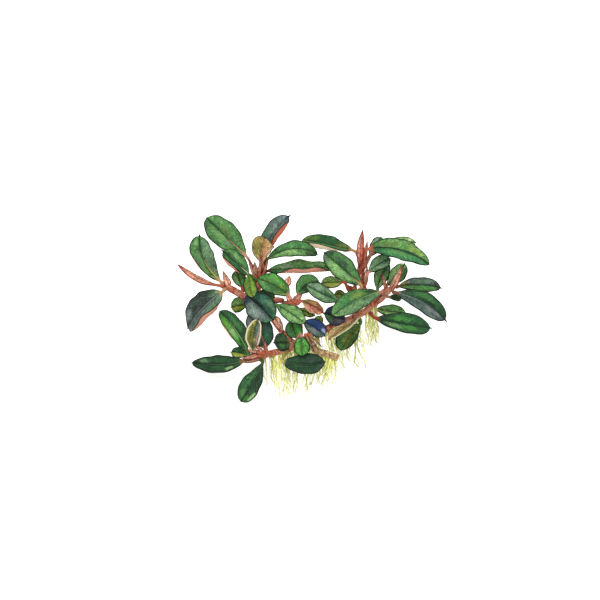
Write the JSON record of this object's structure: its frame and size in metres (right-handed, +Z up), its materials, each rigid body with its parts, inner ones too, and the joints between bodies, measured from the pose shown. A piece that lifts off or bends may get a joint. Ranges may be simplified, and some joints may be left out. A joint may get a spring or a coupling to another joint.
{
  "type": "bucephalandra plant",
  "caption": "Small bushy water plant: creeping branched rhizome with oval glossy leaves on short stalks, pointed red young shoots and thin pale roots it stands on.",
  "frame": {"origin": "on the surface the plant rests on, under the middle of its box", "axes": "+X to the right as in the picture and along the longest side, +Y away from its viewer, +Z up"},
  "size_m": [0.1352, 0.0981, 0.0629],
  "materials": {
    "fresh_leaf": "waxy satin, veined, bright green",
    "deep_leaf": "waxy satin, veined, deep green",
    "black_leaf": "waxy satin, veined, almost black green",
    "yellow_leaf": "waxy satin, young yellow green",
    "olive_leaf": "matt underside, olive to tan, veined",
    "slate_leaf": "waxy satin, slate blue green",
    "blue_leaf": "waxy satin, dark blue green",
    "pink_leaf": "matt underside, tan pink",
    "red_stem": "fleshy, satin, pink to brick red with leaf scars",
    "brown_stem": "older fleshy stem, brown red, cut flat at its end"
  },
  "bodies": {
    "root": {"centre_leaf_arched": "deep_leaf", "centre_leaf_dark_blue": "blue_leaf", "centre_leaf_front": "fresh_leaf", "centre_leaf_grey_green": "slate_leaf", "centre_leaf_left": "fresh_leaf", "centre_leaf_pink": "pink_leaf", "centre_leaf_round_left": "black_leaf", "centre_leaf_round_lower": "fresh_leaf", "centre_leaf_round_upper": "deep_leaf", "centre_leaf_small_dark": "black_leaf", "centre_leaf_small_yellow": "yellow_leaf", "centre_leaf_very_dark": "black_leaf", "centre_stem": "red_stem", "left_leaf_drooping": "slate_leaf", "left_leaf_rolled_red": "pink_leaf", "left_leaf_slate_front": "slate_leaf", "left_leaf_small_dark": "black_leaf", "left_leaf_tall": "fresh_leaf", "left_leaf_yellow_green": "yellow_leaf", "left_stem": "red_stem", "lower_left_leaf_bright": "fresh_leaf", "lower_left_leaf_cupped": "olive_leaf", "lower_left_leaf_forward": "deep_leaf", "lower_left_leaf_long": "black_leaf", "lower_left_leaf_small": "yellow_leaf", "lower_left_leaf_teal": "slate_leaf", "lower_left_rhizome": "red_stem", "middle_leaf_big_front": "fresh_leaf", "middle_leaf_edge_on": "olive_leaf", "middle_leaf_long": "fresh_leaf", "middle_leaf_olive": "olive_leaf", "middle_leaf_olive_low": "olive_leaf", "middle_leaf_small_olive": "olive_leaf", "middle_leaf_violet": "blue_leaf", "middle_rhizome": "red_stem", "middle_stem": "red_stem", "old_rhizome": "brown_stem", "right_leaf_dark_upright": "deep_leaf", "right_leaf_grey_green": "slate_leaf", "right_leaf_low_big": "deep_leaf", "right_leaf_low_olive": "olive_leaf", "right_leaf_olive_upright": "olive_leaf", "right_leaf_slate": "slate_leaf", "right_leaf_small": "deep_leaf", "right_stem": "red_stem", "upper_left_leaf_big": "fresh_leaf", "upper_left_leaf_dark_blue": "blue_leaf", "upper_left_leaf_hanging": "yellow_leaf", "upper_left_leaf_olive": "olive_leaf", "upper_left_leaf_pink_edge": "deep_leaf", "upper_left_leaf_right": "fresh_leaf", "upper_left_leaf_wavy": "deep_leaf", "upper_left_stem": "red_stem", "upper_right_leaf_behind": "deep_leaf", "upper_right_leaf_big": "fresh_leaf", "upper_right_leaf_dark": "deep_leaf", "upper_right_leaf_far": "deep_leaf", "upper_right_leaf_left": "deep_leaf", "upper_right_spike_tall": "red_stem", "upper_right_stem": "red_stem"}
  },
  "joints": []
}
